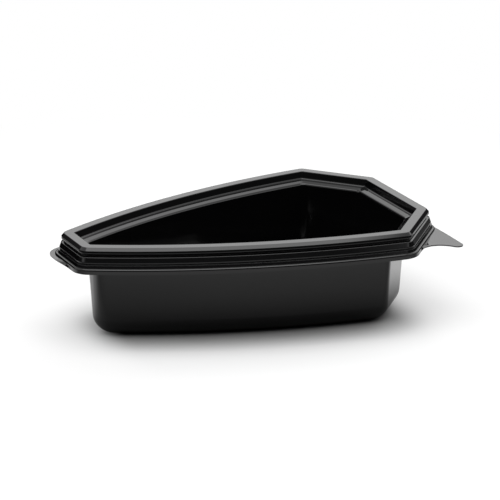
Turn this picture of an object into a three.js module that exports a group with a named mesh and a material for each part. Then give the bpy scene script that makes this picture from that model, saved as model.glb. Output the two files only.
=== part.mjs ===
// Wedge-shaped takeaway tray for one slice of pie, formed from a single plastic sheet
import * as THREE from "three";

// Main sizes in millimetres
const height = 44.8;
const sheet = 0.5;

// Plan of the rim's inner edge: the tip lies at x = 0 and the wide end at x = innerLength
const innerLength = 150;
const wideAt = 129.2;
const tipHalf = 9.2;
const wideHalf = 48.1;
const endHalf = 24.2;
const sideBow = 7;

// Rim seen in section, from the lip inwards. "out" is measured outwards from the inner edge, "drop" down
// from the rim top, "round" is the fold's radius and "plan" the corner radius seen from above.
const lip = { out: 8.45, drop: 10.85, plan: 8.4 };
const flange = { out: 8.45, drop: 8.5, round: 0.8, plan: 8.4, steps: 3 };
const flangeFoot = { out: 7.4, drop: 8.5, round: 0.25, plan: 6, steps: 1 };
const step = { out: 6.95, drop: 7.2, round: 0.55, plan: 5.2, steps: 2 };
const stepFoot = { out: 6.25, drop: 6.85, round: 0.12, plan: 4.6, steps: 1 };
const lowerBead = { out: 6.55, drop: 6.05, round: 0.7, plan: 4.4, steps: 2 };
const lowerShoulder = { out: 5.78, drop: 4.05, round: 0.55, plan: 3.6, steps: 2 };
const groove = { out: 4.65, drop: 3.55, round: 0.25, plan: 3, steps: 2 };
const upperBead = { out: 5.55, drop: 2.2, round: 0.55, plan: 3, steps: 2 };
const upperShoulder = { out: 5.3, drop: 1, round: 0.55, plan: 2.8, steps: 2 };
const rimTop = { out: 4.3, drop: 0, round: 0.55, plan: 2.2, steps: 2 };
const rimEdge = { out: 0, drop: 0, round: 0.6, plan: 0.6, steps: 3 };
const innerWall = { out: -0.8, drop: 3.1, round: 0.3, plan: 0.8, steps: 1 };
const seat = { out: -3.3, drop: 3.7, round: 2, plan: 1.8, steps: 1 };
const seatEnd = { out: -4.8, drop: 4.45, round: 1.2, plan: 2.8, steps: 4, tipLead: 1, tipPlan: 6.5 };
const flatDrop = flange.drop + flange.round;

// Body below the seat; at the tip it stands out further by "tipLead", and its corners there are "tipPlan"
const bodyDraft = THREE.MathUtils.degToRad(3.4);
const toe = { round: 8.1, plan: 4.2, steps: 6, tipLead: 1.7, tipPlan: 7.5 };
const floorTipLead = 0;
const floorRun = 2 * toe.round;
const noseMargin = 0.25;

// Corners in plan are eased a little more at the wide end than at the tip
const wideEase = 1.25;

// Pull tab that runs on from the end of the flange
const tab = { out: 8.8, tipX: 155.5, tipY: -51.9, tipRadius: 2.6, tipStart: -145 };
const tabLead = new THREE.Vector2(139.6, -50.2);
const tabRoot = new THREE.Vector2(142.1, -48.3);
const tabBend = new THREE.Vector2(149.2, -47.2);

// Flat ear on the opposite corner, beside the tip
const earOut = 10.7;

// Share by which the lip is flattened one and two stations before it lies level
const leadIn = { near: 0.3, far: 0.75 };

// Fineness of the surface
const sideSteps = 10;
const cornerSteps = 4;
const tipMiddle = 1 / 3;
const tabSteps = { chamfer: 10, corner: 5, hollow: 6, tip: 5 };

// Corners of the section's upper face, from the lip inwards to the floor
function sectionCorners() {
  const floorDrop = height - sheet;
  const toeOut = seatEnd.out - Math.tan(bodyDraft) * (floorDrop - seatEnd.drop);
  return [
    lip, flange, flangeFoot, step, stepFoot, lowerBead, lowerShoulder, groove,
    upperBead, upperShoulder, rimTop, rimEdge, innerWall, seat, seatEnd,
    { ...toe, out: toeOut, drop: floorDrop },
    { ...toe, out: toeOut - floorRun, drop: floorDrop, tipLead: floorTipLead },
  ];
}

// Rounds every corner of the section and notes the upper face's normal at each sample
function sectionSamples() {
  const corners = sectionCorners();
  const at = (corner) => new THREE.Vector2(corner.out, -corner.drop);
  const upward = (direction) => new THREE.Vector2(direction.y, -direction.x);
  const first = at(corners[1]).sub(at(corners[0])).normalize();
  const samples = [{ ...corners[0], point: at(corners[0]), normal: upward(first) }];
  for (let i = 1; i < corners.length - 1; i += 1) {
    const here = at(corners[i]);
    const before = here.clone().sub(at(corners[i - 1])).normalize();
    const after = at(corners[i + 1]).sub(here).normalize();
    const turn = Math.atan2(before.cross(after), before.dot(after));
    const side = Math.sign(turn);
    const reach = corners[i].round * Math.tan(Math.abs(turn) / 2);
    const start = here.clone().addScaledVector(before, -reach);
    const centre = start.clone().addScaledVector(upward(before), -side * corners[i].round);
    for (let k = 0; k <= corners[i].steps; k += 1) {
      const spin = (turn * k) / corners[i].steps;
      const normal = upward(before).rotateAround(new THREE.Vector2(), spin);
      const point = centre.clone().addScaledVector(normal, side * corners[i].round);
      const leadFrom = corners[i].tipLead ?? 0;
      const leadTo = i === corners.length - 2 ? floorTipLead : leadFrom;
      const tipLead = THREE.MathUtils.lerp(leadFrom, leadTo, (k / corners[i].steps) ** 2);
      samples.push({ ...corners[i], point, normal, tipLead });
    }
  }
  return samples;
}

// Centre and radius of the bowed long side on the front of the plan
function bowedSide() {
  const from = new THREE.Vector2(0, -tipHalf);
  const to = new THREE.Vector2(wideAt, -wideHalf);
  const chord = to.clone().sub(from);
  const half = chord.length() / 2;
  const radius = (half * half) / (2 * sideBow) + sideBow / 2;
  const outward = new THREE.Vector2(chord.y, -chord.x).normalize();
  const middle = from.clone().add(to).multiplyScalar(0.5);
  return { centre: middle.addScaledVector(outward, sideBow - radius), radius };
}

const bow = bowedSide();

// Inset at which the narrowing tip closes, less a margin, where the tip stands out further by "lead"
function noseInset(lead) {
  const reach = bow.centre.x + lead;
  const slack = bow.radius * bow.radius - bow.centre.y * bow.centre.y - reach * reach;
  return slack / (2 * (bow.radius - reach)) - noseMargin;
}

const chamferRun = new THREE.Vector2(innerLength - wideAt, wideHalf - endHalf).normalize();
const chamferOut = new THREE.Vector2(chamferRun.y, -chamferRun.x);

// The point where the bowed side, moved out, meets a straight side moved out
function meetBow(out, anchor, run, towards) {
  const offset = anchor.clone().sub(bow.centre);
  const along = offset.dot(run);
  const radius = bow.radius + out;
  const root = Math.sqrt(along * along - offset.lengthSq() + radius * radius);
  return anchor.clone().addScaledVector(run, -along + towards * root);
}

// Centres of the three front corner rounds, for corner lines moved out by "out"
function tipCentre(out, lead) {
  return meetBow(out, new THREE.Vector2(-out - lead, 0), new THREE.Vector2(0, 1), -1);
}

function wideCentre(out) {
  const anchor = new THREE.Vector2(wideAt, -wideHalf).addScaledVector(chamferOut, out);
  return meetBow(out, anchor, chamferRun, -1);
}

function endCentre(out) {
  const anchor = new THREE.Vector2(wideAt, -wideHalf).addScaledVector(chamferOut, out);
  const travel = (innerLength + out - anchor.x) / chamferRun.x;
  return anchor.addScaledVector(chamferRun, travel);
}

function arcPoints(centre, radius, from, to, steps) {
  const points = [];
  for (let k = 0; k <= steps; k += 1) {
    const angle = from + ((to - from) * k) / steps;
    points.push(new THREE.Vector2(Math.cos(angle), Math.sin(angle)).multiplyScalar(radius).add(centre));
  }
  return points;
}

// Front half of one ring, from the tip side to the end side, anticlockwise seen from above
function halfRing({ out, plan, tipLead = 0, tipPlan = plan }, chamferSteps, endSteps) {
  const tipRound = Math.min(tipPlan, out + noseInset(tipLead));
  const wideRound = plan * wideEase;
  const tip = tipCentre(out - tipRound, tipLead);
  const wide = wideCentre(out - wideRound);
  const end = endCentre(out - wideRound);
  const tipAngle = tip.clone().sub(bow.centre).angle() - 2 * Math.PI;
  const wideAngle = wide.clone().sub(bow.centre).angle() - 2 * Math.PI;
  const chamferAngle = chamferOut.angle() - 2 * Math.PI;
  const points = [new THREE.Vector2(-out - tipLead, tip.y * tipMiddle)];
  points.push(...arcPoints(tip, tipRound, -Math.PI, tipAngle, cornerSteps));
  points.push(...arcPoints(bow.centre, bow.radius + out, tipAngle, wideAngle, sideSteps).slice(1, -1));
  points.push(...arcPoints(wide, wideRound, wideAngle, chamferAngle, cornerSteps));
  const from = wide.clone().addScaledVector(chamferOut, wideRound);
  const to = end.clone().addScaledVector(chamferOut, wideRound);
  for (let k = 1; k < chamferSteps; k += 1) {
    points.push(from.clone().lerp(to, k / chamferSteps));
  }
  points.push(...arcPoints(end, wideRound, chamferAngle, 0, endSteps));
  return points;
}

// A whole ring: the front half, then the back half mirrored from it
function ring(outline) {
  const front = halfRing(outline, tabSteps.chamfer, tabSteps.corner);
  const back = halfRing(outline, 1, cornerSteps).reverse();
  return [...front, ...back.map((point) => new THREE.Vector2(point.x, -point.y))];
}

// Stations of a ring at which the tab starts and the ear lies
const wideDone = 1 + (cornerSteps + 1) + (sideSteps - 1) + (cornerSteps + 1);
const tabStart = wideDone + 1;
const tabCount = tabSteps.chamfer + tabSteps.corner - 1;

// Outline of the pull tab: hollow inner edge, round tip, straight outer edge
function tabOutline() {
  const centre = new THREE.Vector2(tab.tipX, tab.tipY);
  const outerX = innerLength + tab.out;
  const fromAngle = THREE.MathUtils.degToRad(tab.tipStart);
  const tipPoints = arcPoints(centre, tab.tipRadius, fromAngle, 0, tabSteps.tip);
  const hollow = new THREE.QuadraticBezierCurve(tabRoot, tabBend, tipPoints[0]);
  const points = [];
  for (let k = 0; k < tabSteps.hollow; k += 1) {
    points.push(hollow.getPoint(k / tabSteps.hollow));
  }
  points.push(...tipPoints);
  const rest = tabCount - points.length;
  for (let k = 1; k <= rest; k += 1) {
    const y = THREE.MathUtils.lerp(tab.tipY, -endHalf, k / rest);
    points.push(new THREE.Vector2(THREE.MathUtils.lerp(tipPoints.at(-1).x, outerX, k / rest), y));
  }
  return points;
}

// How far the hanging lip is flattened out at each station: 0 is the full lip, 1 is level
function flatShares(count) {
  const shares = new Array(count).fill(0);
  shares[tabStart - 1] = leadIn.near;
  shares[tabStart] = leadIn.far;
  shares.fill(1, tabStart + 1, tabStart + tabCount - 1);
  shares[tabStart + tabCount - 1] = leadIn.far;
  shares.fill(1, count - cornerSteps - 2);
  shares[count - cornerSteps - 3] = leadIn.near;
  shares[0] = leadIn.near;
  return shares;
}

// The trimmed edge of one face of the sheet
function trimRow(face) {
  const shift = face * sheet;
  const hangingRing = ring({ out: lip.out - shift, plan: lip.plan - shift });
  const earRing = ring({ out: earOut, plan: lip.plan + earOut - lip.out });
  const tabPoints = tabOutline();
  const shares = flatShares(hangingRing.length);
  return hangingRing.map((point, i) => {
    const flat = tabPoints[i - tabStart] ?? (i === tabStart - 1 ? tabLead : earRing[i]);
    const hanging = new THREE.Vector3(point.x, point.y, -lip.drop);
    const level = new THREE.Vector3(flat.x, flat.y, -flatDrop - shift);
    return hanging.lerp(level, shares[i]);
  });
}

// All rings of one face of the sheet, the upper one (0) or the lower one (1), trimmed edge first
function faceRows(face) {
  const rows = [trimRow(face)];
  const shift = face * sheet;
  sectionSamples().slice(1).forEach((sample, row) => {
    const side = shift * sample.normal.x;
    const z = sample.point.y - shift * sample.normal.y;
    const plan = sample.plan - side;
    const tipPlan = (sample.tipPlan ?? sample.plan) - side;
    const outline = ring({ out: sample.point.x - side, plan, tipLead: sample.tipLead, tipPlan });
    const shares = flatShares(outline.length);
    rows.push(outline.map((point, i) => {
      const sink = row === 0 ? shift * shares[i] : 0;
      return new THREE.Vector3(point.x, point.y, z - sink);
    }));
  });
  return rows;
}

// Closed skin of the sheet: upper face, lower face and the strip along the trimmed edge
function trayGeometry() {
  const upper = faceRows(0);
  const lower = faceRows(1);
  const count = upper[0].length;
  const points = [...upper.flat(), ...lower.flat()];
  const lowerStart = upper.length * count;
  const faces = [];
  for (let i = 0; i < count; i += 1) {
    const j = (i + 1) % count;
    for (let row = 0; row < upper.length - 1; row += 1) {
      const a = row * count;
      const b = a + count;
      faces.push(a + i, a + j, b + i, a + j, b + j, b + i);
      const c = lowerStart + a;
      const d = c + count;
      faces.push(c + i, d + i, c + j, c + j, d + i, d + j);
    }
    faces.push(i, lowerStart + i, j, j, lowerStart + i, lowerStart + j);
  }
  [[upper, 0], [lower, lowerStart]].forEach(([rows, start], face) => {
    const last = start + (rows.length - 1) * count;
    const centre = points.push(new THREE.Vector3(innerLength / 2, 0, rows.at(-1)[0].z)) - 1;
    for (let i = 0; i < count; i += 1) {
      const pair = [last + i, last + ((i + 1) % count)];
      if (face === 1) {
        pair.reverse();
      }
      faces.push(...pair, centre);
    }
  });
  const geometry = new THREE.BufferGeometry().setFromPoints(points);
  geometry.setIndex(faces);
  geometry.computeBoundingBox();
  const box = geometry.boundingBox;
  geometry.translate(-(box.min.x + box.max.x) / 2, 0, height);
  geometry.computeVertexNormals();
  return geometry;
}

const black = new THREE.MeshStandardMaterial({ color: 0x15161a, roughness: 0.35, metalness: 0 });
black.name = "black_plastic";
const tray = new THREE.Mesh(trayGeometry(), black);
tray.name = "tray";
const part = new THREE.Group();
part.name = "pie_slice_container";
part.add(tray);

export default part;
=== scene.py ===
import math
import bpy
import bmesh
from collections import namedtuple
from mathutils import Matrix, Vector


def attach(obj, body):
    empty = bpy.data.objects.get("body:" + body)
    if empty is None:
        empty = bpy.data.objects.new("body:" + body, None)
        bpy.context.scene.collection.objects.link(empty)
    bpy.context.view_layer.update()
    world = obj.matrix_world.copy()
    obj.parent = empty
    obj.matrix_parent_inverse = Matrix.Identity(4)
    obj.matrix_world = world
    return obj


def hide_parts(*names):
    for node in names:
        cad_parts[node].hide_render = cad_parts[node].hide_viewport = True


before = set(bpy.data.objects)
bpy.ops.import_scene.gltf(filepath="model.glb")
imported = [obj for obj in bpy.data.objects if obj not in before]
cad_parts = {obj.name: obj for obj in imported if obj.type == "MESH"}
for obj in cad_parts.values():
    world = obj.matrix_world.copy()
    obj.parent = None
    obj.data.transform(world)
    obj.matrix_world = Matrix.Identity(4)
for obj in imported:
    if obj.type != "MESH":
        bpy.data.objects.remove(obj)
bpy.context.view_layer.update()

mm = 0.001

# The tray's sizes in millimetres. Plan sizes are those of the rim's inner edge.
tray = {
    "height": 44.8, "sheet": 0.5,
    "innerLength": 150, "wideAt": 129.2, "tipHalf": 9.2, "wideHalf": 48.1, "endHalf": 24.2, "sideBow": 7,
    "wideEase": 1.25,           # the folds' plan radii are multiplied by this at the wide end
    "lipOut": 8.45, "lipDrop": 10.85, "flangeDrop": 8.5, "flangeRound": 0.8, "flangeCorner": 8.4,
    "seatInset": 4.8, "seatDrop": 4.45, "seatRound": 1.2, "seatCorner": 2.8,
    "seatTipLead": 1, "seatTipCorner": 6.5,
    "bodyDraft": 3.4, "bodyCorner": 4.2,
    "toeRound": 8.1, "toeTipLead": 1.3, "toeTipCorner": 7.5, "toeLeadFade": 1.3,
    "floorRun": 2,              # the floor's own loop lies this many toe rounds inside the toe
    "centreX": 74.0,            # moves the plan so that the tray's box is centred
    "creaseAngle": 40,          # folds sharper than this keep a crisp edge
}

# How finely the sheet is divided
steps = {
    "tip": 3, "corner": 12, "side": 40, "endLine": 8,
    "perStation": 3, "chamferStations": 10, "endStations": 5,
    "sideCrowd": 0.12,          # crowds a long side's vertices towards its corners
    "middle": 0.5,              # part of a step by which the lines across the two ends are longer
    "foldDegrees": 9, "foldFewest": 3,
    "hold": 0.06,               # loops that hold the flats beside each rounded fold, in millimetres
    "holdRoom": 4,              # a flat shorter than this many holds gets none
    "floorHold": 0.03,          # share of the way from the toe to the floor's own loop where it is closed
    "noseMargin": 0.25,         # kept free where the narrowing tip would close
}

# Pull tab at the front of the wide end, with places in the tray's plan
tab = {
    "out": 8.8, "tip": (155.5, -51.9), "tipRadius": 2.6, "tipStart": -145,
    "lead": (139.6, -50.2), "root": (142.1, -48.3), "bend": (149.2, -47.2),
    "hollowUnits": 6, "tipUnits": 5, "edgeUnits": 2,
    "leadShares": (0, 0.3, 0.75),   # how level the lip lies on its way to the tab
    "endShare": 0.75, "endFade": 12,
}

# Level ear at the back of the tip
ear = {"out": 10.7, "sidePart": 3, "sideFade": 16}

# A corner of the sheet's section: out from the rim's inner edge, drop below the rim top, radius of the fold,
# corner radius in plan, and at the tip how much further it stands out and its corner radius there
fold = namedtuple("fold", "out drop round plan tipLead tipPlan")
loop = namedtuple("loop", "out drop plan tipLead tipPlan")

rimFolds = {
    "lip": fold(tray["lipOut"], tray["lipDrop"], 0, tray["flangeCorner"], 0, tray["flangeCorner"]),
    "flange": fold(tray["lipOut"], tray["flangeDrop"], tray["flangeRound"], tray["flangeCorner"], 0,
                   tray["flangeCorner"]),
    "flangeFoot": fold(7.4, tray["flangeDrop"], 0.04, 6, 0, 7.6),
    "step": fold(6.95, 7.2, 0.1, 5.2, 0, 7),
    "stepFoot": fold(6.3, 7.15, 0.04, 4.6, 0, 6.5),
    "lowerBead": fold(6.55, 6.15, 0.6, 4.4, 0, 6.6),
    "lowerShoulder": fold(5.78, 4.05, 0.4, 3.6, 0, 5.9),
    "groove": fold(4.65, 3.55, 0.1, 3, 0, 5),
    "upperBead": fold(5.58, 2.35, 0.6, 3, 0, 5.4),
    "upperShoulder": fold(5.45, 1.3, 0.2, 2.8, 0, 5.2),
    "rimTop": fold(4.3, 0, 0.3, 2.2, 0, 4.4),
    "rimEdge": fold(0, 0, 0.3, 0.6, 0, 0.6),
    "innerWall": fold(-0.85, 3.3, 0.8, 0.8, 0, 0.8),
    "seat": fold(-2.6, 3.65, 2, 1.8, 0, 1.8),
}


def bodyFolds():
    # end of the seat, toe of the drafted wall, and a line on the floor
    floorDrop = tray["height"] - tray["sheet"]
    toeInset = tray["seatInset"] + math.tan(math.radians(tray["bodyDraft"])) * (floorDrop - tray["seatDrop"])
    floorOut = -toeInset - tray["floorRun"] * tray["toeRound"]
    return [
        fold(-tray["seatInset"], tray["seatDrop"], tray["seatRound"], tray["seatCorner"],
             tray["seatTipLead"], tray["seatTipCorner"]),
        fold(-toeInset, floorDrop, tray["toeRound"], tray["bodyCorner"],
             tray["toeTipLead"], tray["toeTipCorner"]),
        fold(floorOut, floorDrop, 0, tray["bodyCorner"], 0, tray["toeTipCorner"]),
    ]


def asLoop(corner):
    return loop(corner.out, corner.drop, corner.plan, corner.tipLead, corner.tipPlan)


def between(first, second, share):
    return loop(*(a + (b - a) * share for a, b in zip(first, second)))


def foldArc(before, here, after, leadFades):
    # the rounded fold at one corner of the section, as loops a few degrees apart
    corner = Vector((here.out, -here.drop))
    into = (corner - Vector((before.out, -before.drop))).normalized()
    onward = (Vector((after.out, -after.drop)) - corner).normalized()
    turn = math.atan2(into.x * onward.y - into.y * onward.x, into.dot(onward))
    side = 1 if turn > 0 else -1
    start = corner - into * here.round * math.tan(abs(turn) / 2)
    upward = Vector((into.y, -into.x))
    centre = start - upward * side * here.round
    count = max(steps["foldFewest"], math.ceil(abs(math.degrees(turn)) / steps["foldDegrees"]))
    arc = []
    for k in range(count + 1):
        spin = turn * k / count
        normal = Vector((upward.x * math.cos(spin) - upward.y * math.sin(spin),
                         upward.x * math.sin(spin) + upward.y * math.cos(spin)))
        point = centre + normal * side * here.round
        lead = here.tipLead * (1 - (k / count) ** tray["toeLeadFade"]) if leadFades else here.tipLead
        arc.append(loop(point.x, -point.y, here.plan, lead, here.tipPlan))
    return arc


def sectionLoops():
    # every loop of the section from the lip to the floor
    folds = list(rimFolds.values()) + bodyFolds()
    toe = len(folds) - 2
    loops = [asLoop(folds[0])]
    for i in range(1, len(folds) - 1):
        arc = foldArc(folds[i - 1], folds[i], folds[i + 1], i == toe)
        last = loops[-1]
        gap = math.hypot(arc[0].out - last.out, arc[0].drop - last.drop)
        if gap > steps["holdRoom"] * steps["hold"]:
            if i > 1:
                loops.append(between(last, arc[0], steps["hold"] / gap))
            loops.append(between(last, arc[0], 1 - steps["hold"] / gap))
        loops.extend(arc)
    loops.append(between(loops[-1], asLoop(folds[-1]), steps["floorHold"]))
    return loops


# Plan of the tray: bowed long sides, chamfered wide end, straight tip
sideFrom = Vector((0, -tray["tipHalf"]))
sideTo = Vector((tray["wideAt"], -tray["wideHalf"]))
sideHalf = (sideTo - sideFrom).length / 2
bowRadius = sideHalf ** 2 / (2 * tray["sideBow"]) + tray["sideBow"] / 2
sideOut = Vector(((sideTo - sideFrom).y, -(sideTo - sideFrom).x)).normalized()
bowCentre = (sideFrom + sideTo) / 2 + sideOut * (tray["sideBow"] - bowRadius)
chamferRun = Vector((tray["innerLength"] - tray["wideAt"], tray["wideHalf"] - tray["endHalf"])).normalized()
chamferOut = Vector((chamferRun.y, -chamferRun.x))


def noseInset(lead):
    # inset at which the narrowing tip closes
    reach = bowCentre.x + lead
    slack = bowRadius ** 2 - bowCentre.y ** 2 - reach ** 2
    return slack / (2 * (bowRadius - reach)) - steps["noseMargin"]


def meetBow(out, anchor, run):
    # where a line meets the bow of the front side, moved out
    offset = anchor - bowCentre
    along = offset.dot(run)
    root = math.sqrt(along ** 2 - offset.length_squared + (bowRadius + out) ** 2)
    return anchor + run * (-along - root)


def arcPoints(centre, radius, fromAngle, toAngle, count):
    points = []
    for k in range(count + 1):
        angle = fromAngle + (toAngle - fromAngle) * k / count
        points.append(Vector((centre.x + radius * math.cos(angle), centre.y + radius * math.sin(angle))))
    return points


def angleOf(v):
    angle = math.atan2(v.y, v.x)
    return angle if angle <= 0 else angle - 2 * math.pi


def sideShares(count):
    # places along a long side, closer together beside its corners
    return [k / count - steps["sideCrowd"] * math.sin(2 * math.pi * k / count) for k in range(count + 1)]


def halfRing(out, plan, lead, tipPlan):
    # front half of a loop, from the middle of the tip to the middle of the wide end
    tipRound = min(tipPlan, out + noseInset(lead))
    wideRound = plan * tray["wideEase"]
    tipCorner = meetBow(out - tipRound, Vector((tipRound - out - lead, 0)), Vector((0, 1)))
    anchor = sideTo + chamferOut * (out - wideRound)
    wideCorner = meetBow(out - wideRound, anchor, chamferRun)
    endCorner = anchor + chamferRun * ((tray["innerLength"] + out - wideRound - anchor.x) / chamferRun.x)
    tipAngle = angleOf(tipCorner - bowCentre)
    wideAngle = angleOf(wideCorner - bowCentre)
    chamferAngle = angleOf(chamferOut)
    tipSpan = steps["tip"] + steps["middle"]
    points = [Vector((-out - lead, tipCorner.y * k / tipSpan)) for k in range(1, steps["tip"] + 1)]
    points += arcPoints(tipCorner, tipRound, -math.pi, tipAngle, steps["corner"])
    for share in sideShares(steps["side"])[1:-1]:
        angle = tipAngle + (wideAngle - tipAngle) * share
        points.append(bowCentre + (bowRadius + out) * Vector((math.cos(angle), math.sin(angle))))
    points += arcPoints(wideCorner, wideRound, wideAngle, chamferAngle, steps["corner"])
    chamferCount = steps["chamferStations"] * steps["perStation"]
    start = wideCorner + chamferOut * wideRound
    stop = endCorner + chamferOut * wideRound
    points += [start.lerp(stop, k / chamferCount) for k in range(1, chamferCount)]
    points += arcPoints(endCorner, wideRound, chamferAngle, 0, steps["endStations"] * steps["perStation"])
    last = points[-1]
    endSpan = steps["endLine"] + steps["middle"]
    points += [Vector((last.x, last.y * (1 - k / endSpan))) for k in range(1, steps["endLine"] + 1)]
    return points


def ring(out, plan, lead, tipPlan):
    front = halfRing(out, plan, lead, tipPlan)
    return front + [Vector((p.x, -p.y)) for p in reversed(front)]


def plainRing(out, plan):
    return ring(out, plan, 0, plan)


stationCount = len(plainRing(0, 1))
halfCount = stationCount // 2
chamferStart = steps["tip"] + steps["corner"] + steps["side"] + steps["corner"]


def tabPoint(unit):
    # outline of the pull tab: hollow inner edge, round tip, straight outer edge
    centre = Vector(tab["tip"])
    outerX = tray["innerLength"] + tab["out"]
    tipStart = math.radians(tab["tipStart"])
    tipLast = centre + Vector((tab["tipRadius"], 0))
    tipFirst = centre + tab["tipRadius"] * Vector((math.cos(tipStart), math.sin(tipStart)))
    if unit < tab["hollowUnits"]:
        t = unit / tab["hollowUnits"]
        return (1 - t) ** 2 * Vector(tab["root"]) + 2 * t * (1 - t) * Vector(tab["bend"]) + t * t * tipFirst
    unit -= tab["hollowUnits"]
    if unit <= tab["tipUnits"]:
        angle = tipStart * (1 - unit / tab["tipUnits"])
        return centre + tab["tipRadius"] * Vector((math.cos(angle), math.sin(angle)))
    t = (unit - tab["tipUnits"]) / tab["edgeUnits"]
    return tipLast.lerp(Vector((outerX, -tray["endHalf"])), t)


def smooth(t):
    t = max(0, min(1, t))
    return t * t * (3 - 2 * t)


def trimLoop():
    # trimmed edge: the lip hangs, and lies level along the tab and the ear
    lip = plainRing(tray["lipOut"], tray["flangeCorner"])
    earLine = plainRing(ear["out"], tray["flangeCorner"] + ear["out"] - tray["lipOut"])
    levelDrop = tray["flangeDrop"] + tray["flangeRound"]
    shares = tab["leadShares"]
    tabFrom = len(shares) - 1
    tabTo = tabFrom + tab["hollowUnits"] + tab["tipUnits"] + tab["edgeUnits"]
    earFrom = stationCount - (steps["tip"] + steps["corner"] + 1)
    points = []
    for i, p in enumerate(lip):
        unit = (i - chamferStart) / steps["perStation"]
        share, flat = 0, earLine[i]
        if 0 <= unit < tabFrom:
            flat = Vector(tab["lead"]).lerp(Vector(tab["root"]), max(0, unit - 1))
            low = math.floor(unit)
            share = shares[low] + (shares[low + 1] - shares[low]) * (unit - low)
        elif tabFrom <= unit <= tabTo:
            flat = tabPoint(unit - tabFrom)
            rise = shares[-1] + (unit - tabFrom) * (1 - shares[-1])
            share = min(1, rise, 1 - (1 - tab["endShare"]) * (unit - tabTo + 1))
        elif tabTo < unit and i < halfCount:
            flat = Vector((tray["innerLength"] + tab["out"], p.y))
            share = tab["endShare"] * smooth(1 - (p.y + tray["endHalf"]) / tab["endFade"])
        elif i >= earFrom:
            share = 1
        elif i >= earFrom - steps["side"] // ear["sidePart"]:
            share = smooth(1 - (p.x - lip[earFrom].x) / ear["sideFade"])
        elif i < steps["tip"]:
            share = smooth((p.y - lip[steps["tip"]].y) / (2 * tray["tipHalf"]))
        points.append(Vector((p.x, p.y, -tray["lipDrop"])).lerp(Vector((flat.x, flat.y, -levelDrop)), share))
    return points


def inFrame(p):
    return Vector((p[0] - tray["centreX"], p[1], p[2] + tray["height"])) * mm


def placeLoop(points):
    # the selected loop is the one just added; it is set on its outline, vertex by vertex
    mesh = bmesh.from_edit_mesh(bpy.context.object.data)
    picked = [v for v in mesh.verts if v.select]
    for v, p in zip(picked, points):
        v.co = inFrame(p)
    bmesh.update_edit_mesh(bpy.context.object.data)


def formTray():
    # one loop after another is extruded from the trimmed edge to the floor, then given the sheet's thickness
    bpy.ops.object.select_all(action="DESELECT")
    bpy.ops.mesh.primitive_circle_add(vertices=stationCount, radius=tray["wideHalf"] * mm,
                                      location=(0, 0, 0))
    piece = bpy.context.object
    piece.name = "traySheet"
    bpy.ops.object.mode_set(mode="EDIT")
    bpy.ops.mesh.select_mode(type="VERT")
    bpy.ops.mesh.select_all(action="SELECT")
    placeLoop(trimLoop())
    for each in sectionLoops()[1:]:
        bpy.ops.mesh.extrude_edges_move()
        placeLoop([(p.x, p.y, -each.drop) for p in ring(each.out, each.plan, each.tipLead, each.tipPlan)])
    bpy.ops.mesh.edge_face_add()
    bpy.ops.mesh.select_all(action="SELECT")
    bpy.ops.mesh.normals_make_consistent(inside=False)
    bpy.ops.object.mode_set(mode="OBJECT")
    # the floor has to face up before the sheet gets its thickness, which grows downwards
    floorFace = max(piece.data.polygons, key=lambda face: len(face.vertices))
    if floorFace.normal.z < 0:
        bpy.ops.object.mode_set(mode="EDIT")
        bpy.ops.mesh.select_all(action="SELECT")
        bpy.ops.mesh.flip_normals()
        bpy.ops.object.mode_set(mode="OBJECT")
    wall = piece.modifiers.new("sheet", "SOLIDIFY")
    wall.thickness = tray["sheet"] * mm
    wall.offset = -1
    wall.use_even_offset = False
    bpy.ops.object.modifier_apply(modifier=wall.name)
    bpy.ops.object.shade_smooth_by_angle(angle=math.radians(tray["creaseAngle"]))
    return piece


# Black plastic, glossy, with the shallow waves that forming leaves
plastic = {
    "colour": (0.003, 0.003, 0.0032, 1), "rough": 0.07, "ior": 1.58,
    "wave": 45, "waveDetail": 1, "waveStrength": 0.25, "waveHeight": 0.0004,
}


# Places of the colour sockets on a mix node, whose socket names aren't unique
colourMix = {"share": 0, "first": 6, "second": 7, "result": 2}


def addNode(tree, kind, **values):
    made = tree.nodes.new(kind)
    for key, value in values.items():
        setattr(made, key, value)
    return made


def put(tree, value, socket):
    # joins one socket to another, or sets its value
    if isinstance(value, bpy.types.NodeSocket):
        tree.links.new(value, socket)
    else:
        socket.default_value = value


def maths(tree, operation, a, b):
    made = addNode(tree, "ShaderNodeMath", operation=operation)
    put(tree, a, made.inputs[0])
    put(tree, b, made.inputs[1])
    return made.outputs[0]


def ramp(tree, value, span, fromValue, toValue, kind="SMOOTHSTEP"):
    # goes from one value to the other while the input crosses the span
    made = addNode(tree, "ShaderNodeMapRange", interpolation_type=kind)
    put(tree, value, made.inputs["Value"])
    put(tree, span[0], made.inputs["From Min"])
    put(tree, span[1], made.inputs["From Max"])
    put(tree, fromValue, made.inputs["To Min"])
    put(tree, toValue, made.inputs["To Max"])
    return made.outputs["Result"]


def along(tree, place, axis):
    # how far a place or a direction reaches along an axis
    made = addNode(tree, "ShaderNodeVectorMath", operation="DOT_PRODUCT")
    put(tree, place, made.inputs[0])
    put(tree, axis, made.inputs[1])
    return made.outputs["Value"]


def mixColours(tree, share, first, second):
    made = addNode(tree, "ShaderNodeMix", data_type="RGBA")
    put(tree, share, made.inputs[colourMix["share"]])
    put(tree, first, made.inputs[colourMix["first"]])
    put(tree, second, made.inputs[colourMix["second"]])
    return made.outputs[colourMix["result"]]


def mixShaders(tree, share, first, second):
    made = addNode(tree, "ShaderNodeMixShader")
    put(tree, share, made.inputs[0])
    put(tree, first, made.inputs[1])
    put(tree, second, made.inputs[2])
    return made.outputs[0]


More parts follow.
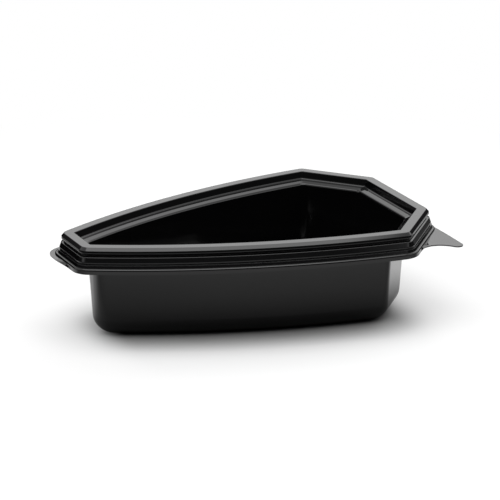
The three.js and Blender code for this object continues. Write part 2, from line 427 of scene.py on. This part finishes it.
def blackPlastic():
    material = bpy.data.materials.new("blackPlastic")
    material.use_nodes = True
    tree = material.node_tree
    shader = tree.nodes["Principled BSDF"]
    put(tree, plastic["colour"], shader.inputs["Base Color"])
    put(tree, plastic["rough"], shader.inputs["Roughness"])
    put(tree, plastic["ior"], shader.inputs["IOR"])
    wave = addNode(tree, "ShaderNodeTexNoise")
    put(tree, addNode(tree, "ShaderNodeTexCoord").outputs["Object"], wave.inputs["Vector"])
    put(tree, plastic["wave"], wave.inputs["Scale"])
    put(tree, plastic["waveDetail"], wave.inputs["Detail"])
    bump = addNode(tree, "ShaderNodeBump")
    put(tree, wave.outputs["Fac"], bump.inputs["Height"])
    put(tree, plastic["waveStrength"], bump.inputs["Strength"])
    put(tree, plastic["waveHeight"], bump.inputs["Distance"])
    put(tree, bump.outputs["Normal"], shader.inputs["Normal"])
    return material


traySheet = formTray()
traySheet.data.materials.append(blackPlastic())
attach(traySheet, "root")
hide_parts("tray")
print("tray formed:", len(traySheet.data.polygons), "faces")

# Pale floor, in metres
floor = {
    "radius": 0.45, "corners": 96, "height": -0.0001, "colour": 0.97,
    "fade": (0.2, 0.32),                              # distances at which it turns white
    # painted light: towards the tray's two ends the floor's shadow is lifted and the floor glows partly
    # white
    "ends": (0.057, 0.08), "endsWhite": 0.42,         # lighter shadow towards the tray's two ends
    # painted contact shadow: how far the floor's colour is darkened beside the tray
    "contact": 0.02, "contactSamples": 8,
    # painted shade seen only in the plastic's reflections: contact shadow, greys of the shadow in front of
    # the tray, and a darker far floor
    "mirrorContact": 0.04, "mirrorWay": (-0.22, -0.975, 0), "mirrorSpan": 0.12,
    "mirrorShadowGreys": ((0.0, 1.0), (0.22, 0.42), (0.34, 0.29), (0.95, 0.55)),
    "mirrorFar": (0.17, 0.27), "mirrorFarShare": 0.1,
}


def contactShade(tree, colour, reach):
    # paints contact shadow: darkens a colour beside what stands on the floor
    made = addNode(tree, "ShaderNodeAmbientOcclusion", samples=floor["contactSamples"])
    put(tree, colour, made.inputs["Color"])
    put(tree, reach, made.inputs["Distance"])
    return made.outputs["Color"]


def seenFloor(tree, place, distance):
    # the floor as the camera sees it, with painted contact shadow, and painted light towards the tray's two
    # ends where the floor partly glows white
    colour = (floor["colour"],) * 3 + (1,)
    apart = addNode(tree, "ShaderNodeSeparateXYZ")
    put(tree, place, apart.inputs[0])
    # painted light: towards the tray's two ends the painted contact shadow is taken out and the floor glows
    # partly white
    ends = ramp(tree, maths(tree, "ABSOLUTE", apart.outputs["X"], 0), floor["ends"], 0, 1)
    matt = addNode(tree, "ShaderNodeBsdfDiffuse")
    shaded = contactShade(tree, colour, floor["contact"])
    put(tree, mixColours(tree, ends, shaded, colour), matt.inputs["Color"])
    white = addNode(tree, "ShaderNodeEmission")
    fade = ramp(tree, distance, floor["fade"], 0, 1)
    whiteShare = maths(tree, "MAXIMUM", fade, maths(tree, "MULTIPLY", ends, floor["endsWhite"]))
    return mixShaders(tree, whiteShare, matt.outputs[0], white.outputs[0])


def mirroredFloor(tree, place, distance):
    # the floor as the plastic reflects it, with painted shade: darker in front of the tray, as its shadow,
    # and far away
    inFront = maths(tree, "DIVIDE", along(tree, place, floor["mirrorWay"]), floor["mirrorSpan"])
    greys = addNode(tree, "ShaderNodeValToRGB")
    put(tree, inFront, greys.inputs["Fac"])
    for at, grey in floor["mirrorShadowGreys"][1:-1]:
        greys.color_ramp.elements.new(at)
    for stop, (at, grey) in zip(greys.color_ramp.elements, floor["mirrorShadowGreys"]):
        stop.position = at
        stop.color = (grey, grey, grey, 1)
    scaled = addNode(tree, "ShaderNodeVectorMath", operation="SCALE")
    put(tree, greys.outputs["Color"], scaled.inputs[0])
    put(tree, ramp(tree, distance, floor["mirrorFar"], 1, floor["mirrorFarShare"], "LINEAR"),
        scaled.inputs["Scale"])
    matt = addNode(tree, "ShaderNodeBsdfDiffuse")
    put(tree, contactShade(tree, scaled.outputs[0], floor["mirrorContact"]), matt.inputs["Color"])
    return matt.outputs[0]


def floorMaterial():
    material = bpy.data.materials.new("paleFloor")
    material.use_nodes = True
    tree = material.node_tree
    tree.nodes.clear()
    place = addNode(tree, "ShaderNodeTexCoord").outputs["Object"]
    length = addNode(tree, "ShaderNodeVectorMath", operation="LENGTH")
    put(tree, place, length.inputs[0])
    distance = length.outputs["Value"]
    path = addNode(tree, "ShaderNodeLightPath")
    surface = mixShaders(tree, path.outputs["Is Camera Ray"], mirroredFloor(tree, place, distance),
                         seenFloor(tree, place, distance))
    put(tree, surface, addNode(tree, "ShaderNodeOutputMaterial").inputs["Surface"])
    return material


# Soft studio light, as strengths by direction. Angles are degrees above the floor.
studio = {
    "backWay": (0.43, 0.90),                        # the light wall stands on this side
    "back": 1.4, "backTop": 0.75, "wallTop": (28, 34),
    "front": 0.06, "frontEdge": (-0.8, -0.3),
    "band": 0.04, "bandTop": (13, 16.5),            # dark band above the floor
    "panel": 1.6, "panelWay": (0.75, 0.66, 0), "panelEdge": (0.58, 0.68),
    "leftBackWay": (-0.39, 0.92, 0), "leftBackEdge": (0.8, 0.9), "leftBackShare": 0.04,
    "overhead": 2.7, "overheadTilt": -8, "overheadEdge": (34, 25),   # degrees from the overhead's axis
}


def sines(angles):
    return [math.sin(math.radians(angle)) for angle in angles]


def cosines(angles):
    return [math.cos(math.radians(angle)) for angle in angles]


def studioWorld():
    world = bpy.data.worlds.new("studio")
    bpy.context.scene.world = world
    world.use_nodes = True
    tree = world.node_tree
    tree.nodes.clear()
    way = addNode(tree, "ShaderNodeTexCoord").outputs["Generated"]
    up = along(tree, way, (0, 0, 1))
    plan = Vector(studio["backWay"]).normalized()
    backward = along(tree, way, (plan.x, plan.y, 0))
    panel = ramp(tree, along(tree, way, studio["panelWay"]), studio["panelEdge"],
                 studio["backTop"], studio["panel"])
    behind = ramp(tree, backward, studio["frontEdge"], studio["front"], studio["back"])
    above = ramp(tree, backward, studio["frontEdge"], studio["front"], panel)
    wall = ramp(tree, up, sines(studio["bandTop"]), studio["band"],
                ramp(tree, up, sines(studio["wallTop"]), behind, above))
    leftBack = ramp(tree, along(tree, way, studio["leftBackWay"]), studio["leftBackEdge"],
                    1, studio["leftBackShare"])
    tilt = math.radians(studio["overheadTilt"])
    overheadAxis = (plan.x * math.sin(tilt), plan.y * math.sin(tilt), math.cos(tilt))
    overhead = ramp(tree, along(tree, way, overheadAxis), cosines(studio["overheadEdge"]),
                    0, studio["overhead"])
    light = maths(tree, "MAXIMUM", overhead, maths(tree, "MULTIPLY", wall, leftBack))
    white = (1, 1, 1, 1)
    lit = addNode(tree, "ShaderNodeBackground")
    put(tree, white, lit.inputs["Color"])
    put(tree, light, lit.inputs["Strength"])
    backdrop = addNode(tree, "ShaderNodeBackground")
    put(tree, white, backdrop.inputs["Color"])
    path = addNode(tree, "ShaderNodeLightPath")
    surface = mixShaders(tree, path.outputs["Is Camera Ray"], lit.outputs[0], backdrop.outputs[0])
    put(tree, surface, addNode(tree, "ShaderNodeOutputWorld").inputs["Surface"])


bpy.ops.object.select_all(action="DESELECT")
bpy.ops.mesh.primitive_circle_add(vertices=floor["corners"], radius=floor["radius"], fill_type="NGON",
                                  location=(0, 0, floor["height"]))
paleFloor = bpy.context.object
paleFloor.name = "paleFloor"
paleFloor.data.materials.append(floorMaterial())
studioWorld()
print("studio set")

# Camera, at the photo's view; places in metres, lens and sensor in millimetres
view = {"from": (-0.52472, -1.11995, 0.44280), "at": (0.0029, -0.0062, 0.0304), "lens": 212.6, "sensor": 36}
bpy.ops.object.camera_add(location=view["from"])
camera = bpy.context.object
camera.rotation_euler = (Vector(view["at"]) - Vector(view["from"])).to_track_quat("-Z", "Y").to_euler()
camera.data.lens = view["lens"]
camera.data.sensor_width = view["sensor"]
bpy.context.scene.camera = camera
bpy.context.scene.view_settings.view_transform = "Standard"
print("camera placed")
